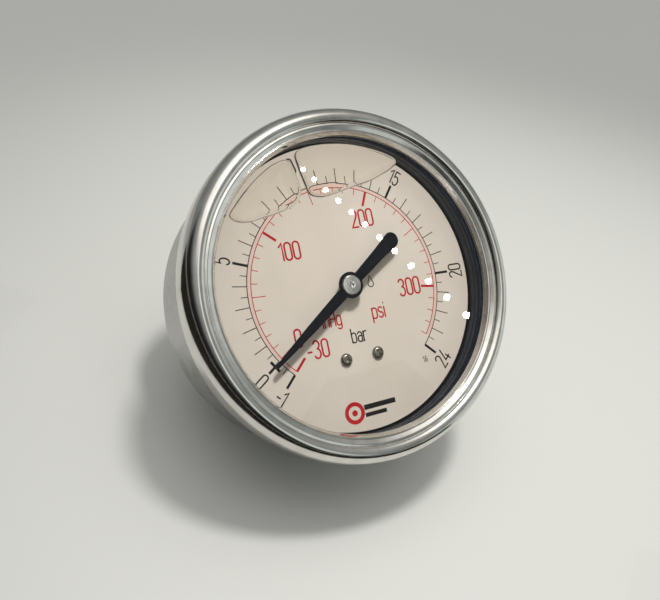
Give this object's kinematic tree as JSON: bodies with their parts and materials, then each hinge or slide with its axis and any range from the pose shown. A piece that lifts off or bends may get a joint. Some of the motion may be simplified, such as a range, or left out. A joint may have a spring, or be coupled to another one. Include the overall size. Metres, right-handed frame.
{
  "type": "pressure gauge",
  "caption": "Round dial pressure gauge with a polished crimped ring, liquid-filled steel case, dual scale, black pointer, Bourdon tube movement and centre-back threaded stem.",
  "frame": {"origin": "centre of the threaded stem's sealing end face, on the gauge's axis", "axes": "+Y along the stem away from the dial, which faces -Y; +Z is the 12 o'clock direction of the dial; +X is 3 o'clock"},
  "size_m": [0.0684, 0.058, 0.0684],
  "materials": {
    "satin_steel": "satin drawn stainless steel",
    "polished_steel": "polished stainless steel",
    "window": "clear laminated window",
    "black_rubber": "matt black",
    "brass": "turned brass, clean",
    "bronze": "drawn bronze, slightly darker than the brass",
    "pale_metal": "plated or bare steel",
    "black_enamel": "semi-matt black",
    "cream_enamel": "matt warm white with printed scales"
  },
  "bodies": {
    "case": {"case_shell": "satin_steel", "bezel_ring": "polished_steel", "window_glass": "window", "window_gasket": "black_rubber", "socket_stem": "brass", "socket_seal_ring": "black_rubber", "restrictor_screw": "brass", "case_screw_left": "pale_metal", "case_screw_right": "pale_metal", "bourdon_tube": "bronze", "movement_back_plate": "brass", "movement_front_plate": "brass", "pillar_1": "brass", "pillar_2": "brass", "pillar_3": "brass", "pillar_screw_1": "pale_metal", "pillar_screw_2": "pale_metal", "pillar_screw_3": "pale_metal", "plate_screw_1": "pale_metal", "plate_screw_2": "pale_metal", "hairspring": "bronze", "hairspring_stud": "brass", "dial_plate": "cream_enamel", "dial_screw_left": "pale_metal", "dial_screw_right": "pale_metal"},
    "pointer": {"pinion_arbor": "pale_metal", "hairspring_collet": "brass", "pointer_blade": "black_enamel", "pointer_bushing": "pale_metal"},
    "sector": {"sector_gear": "brass", "sector_arbor": "pale_metal", "link_pin_inner": "pale_metal"},
    "link": {"link_bar": "brass"},
    "tube_tip": {"tube_end_cap": "brass", "link_pin_outer": "pale_metal"},
    "plug": {"fill_plug": "black_rubber"}
  },
  "joints": [
    {"name": "pointer_turn", "type": "hinge", "parent": "case", "child": "pointer", "pos_m": [0, -0.0452, 0], "axis": [0, 1, 0], "range_deg": [-10.8, 259.2], "stiffness_Nm_per_rad": 0.00002, "deforming": ["hairspring"]},
    {"name": "sector_rock", "type": "hinge", "parent": "case", "child": "sector", "pos_m": [0, -0.0368, -0.015], "axis": [0, 1, 0], "range_deg": [-23.6, 1]},
    {"name": "link_swing", "type": "hinge", "parent": "sector", "child": "link", "pos_m": [-0.00098, -0.0383, -0.0199], "axis": [0, 1, 0], "range_deg": [-0.85, 19.4]},
    {"name": "tube_tip_swing", "type": "hinge", "parent": "case", "child": "tube_tip", "pos_m": [0.00068, -0.036, 0.00514], "axis": [0, 1, 0], "range_deg": [-4.7, 0.2], "deforming": ["bourdon_tube"]},
    {"name": "fill_plug_pull", "type": "slide", "parent": "case", "child": "plug", "axis": [0, 0, 1], "range_m": [0, 0.006]}
  ],
  "couplings": [
    {"joint": "sector_rock", "follows": "pointer_turn", "ratio": -0.090909},
    {"joint": "link_swing", "follows": "pointer_turn", "ratio": 0.074567},
    {"joint": "tube_tip_swing", "follows": "pointer_turn", "ratio": -0.018038}
  ]
}
